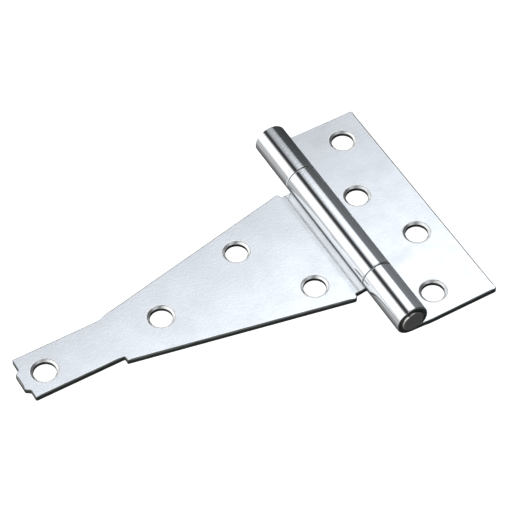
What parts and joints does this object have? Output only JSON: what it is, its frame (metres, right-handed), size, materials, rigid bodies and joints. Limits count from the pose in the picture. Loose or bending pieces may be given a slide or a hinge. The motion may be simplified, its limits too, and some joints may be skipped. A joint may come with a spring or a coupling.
{
  "type": "t hinge",
  "caption": "T hinge: a tapering strap leaf and a rectangular butt leaf of plated sheet steel, rolled round a headed pin, with countersunk screw holes in both leaves.",
  "frame": {"origin": "on the plane of the leaves' backs, level with the middle of the pin, halfway between the strap's tip and the butt leaf's outer edge", "axes": "+X from the strap's tip towards the butt leaf, +Y along the pin from its head to its plain end, +Z out of the front, the side with the knuckles"},
  "size_m": [0.1298, 0.0791, 0.0103],
  "materials": {
    "leaf_zinc": "bright zinc plate, satin on the flats and shiny on the rolled knuckles",
    "pin_steel": "plated steel, a little darker than the leaves"
  },
  "bodies": {
    "butt": {"butt_leaf": "leaf_zinc", "hinge_pin": "pin_steel"},
    "strap": {"strap_leaf": "leaf_zinc"}
  },
  "joints": [
    {"name": "strap_swing", "type": "hinge", "parent": "butt", "child": "strap", "pos_m": [0.03675, 0, 0.00539], "axis": [0, 1, 0], "range_deg": [-100, 185]}
  ]
}
